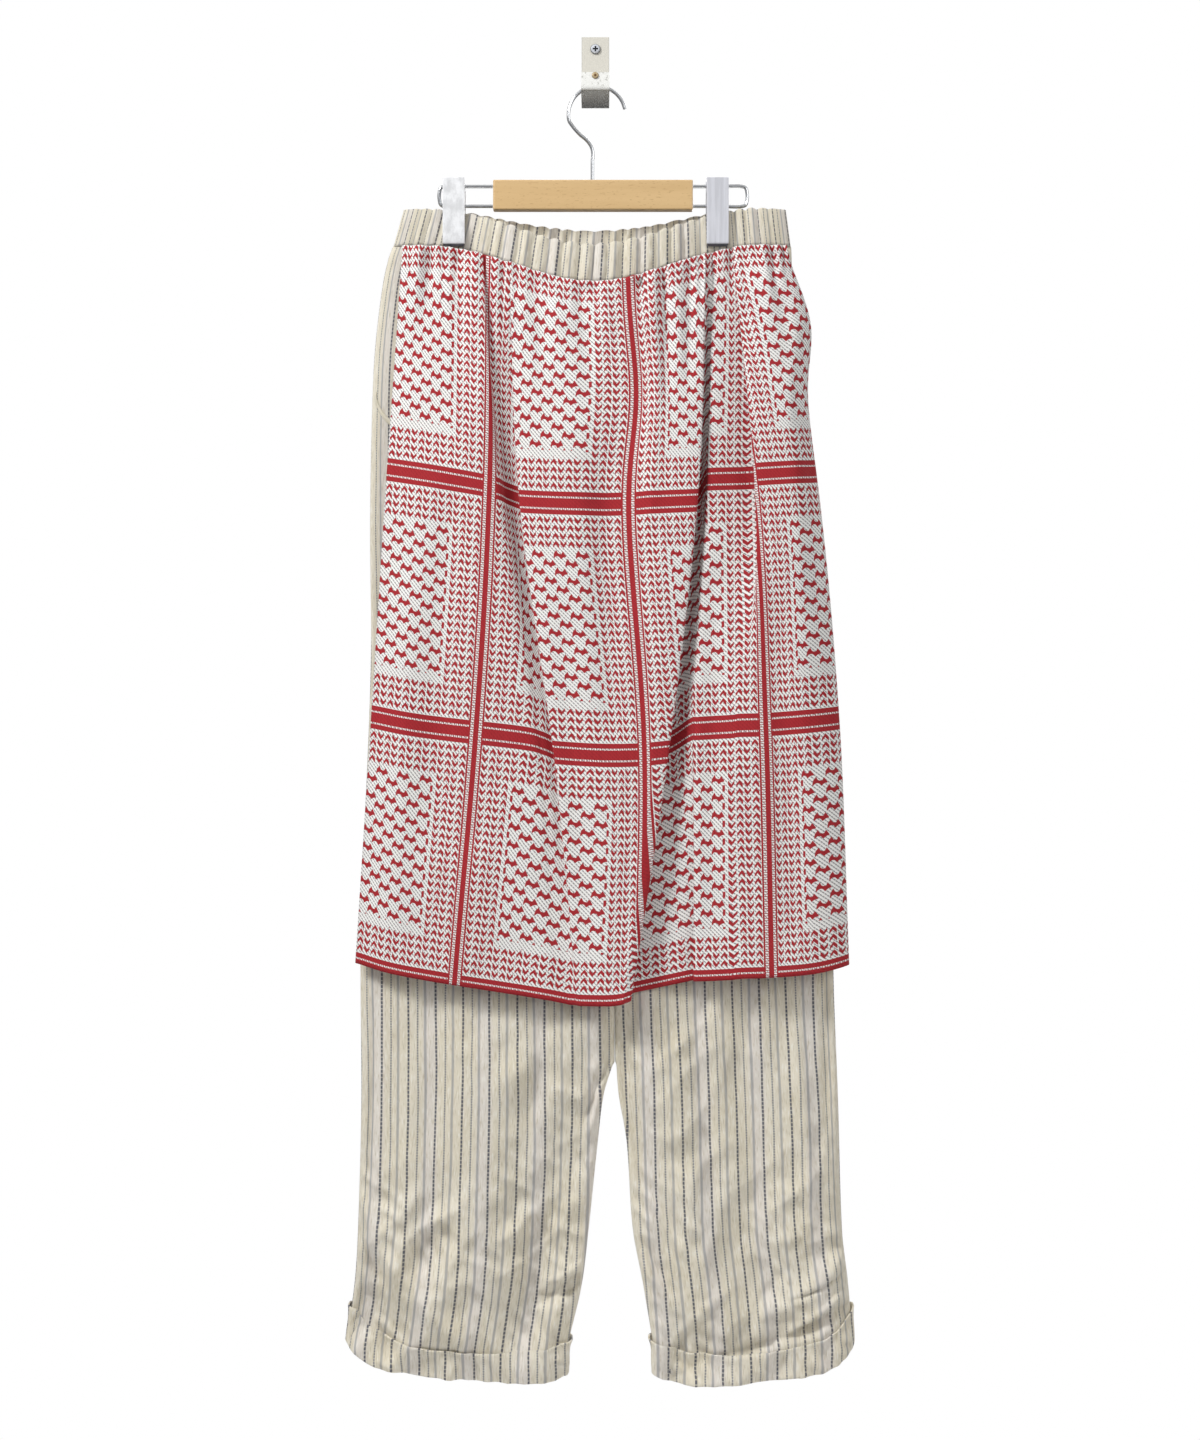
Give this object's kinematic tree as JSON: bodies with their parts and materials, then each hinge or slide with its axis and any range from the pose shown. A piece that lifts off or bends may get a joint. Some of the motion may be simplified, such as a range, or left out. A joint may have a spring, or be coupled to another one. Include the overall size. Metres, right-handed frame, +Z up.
{
  "type": "wide-leg pants on a clip hanger and wall hook",
  "caption": "Wide low-crotch striped trousers with a gathered waist, turn-up cuffs and a patterned apron front, clipped to a hanger on a wall hook.",
  "frame": {"origin": "the bracket's screw axis where it meets the wall plane", "axes": "+Z up, -Y out from the wall towards the viewer, +X to the viewer's right"},
  "size_m": [0.4349, 0.1005, 1.1623],
  "materials": {
    "striped_cloth": "cream wool and linen cloth with fine grey-blue stripes along the length, slightly hairy",
    "scarf_cloth": "white twill with a red woven traditional scarf pattern",
    "bracket_steel": "brushed sheet metal",
    "screw_steel": "plain steel screw",
    "rivet_brass": "small brass rivet",
    "wire_steel": "bright steel wire",
    "clip_steel": "bright pressed steel",
    "beech": "clear lacquered beech"
  },
  "bodies": {
    "root": {"wall_bracket": "bracket_steel", "wall_screw": "screw_steel", "lip_rivet": "rivet_brass", "hanger_hook": "wire_steel", "hanger_bar": "beech", "wire_loop_left": "wire_steel", "wire_loop_right": "wire_steel", "clip_left_front": "clip_steel", "clip_left_back": "clip_steel", "clip_left_barrel": "wire_steel", "clip_right_front": "clip_steel", "clip_right_back": "clip_steel", "clip_right_barrel": "wire_steel", "waistband_front": "striped_cloth", "waistband_back": "striped_cloth", "leg_left_front": "striped_cloth", "leg_left_back": "striped_cloth", "leg_right_front": "striped_cloth", "leg_right_back": "striped_cloth", "cuff_left_front": "striped_cloth", "cuff_left_back": "striped_cloth", "cuff_right_front": "striped_cloth", "cuff_right_back": "striped_cloth", "pocket_lip": "striped_cloth", "apron": "scarf_cloth"}
  },
  "joints": []
}
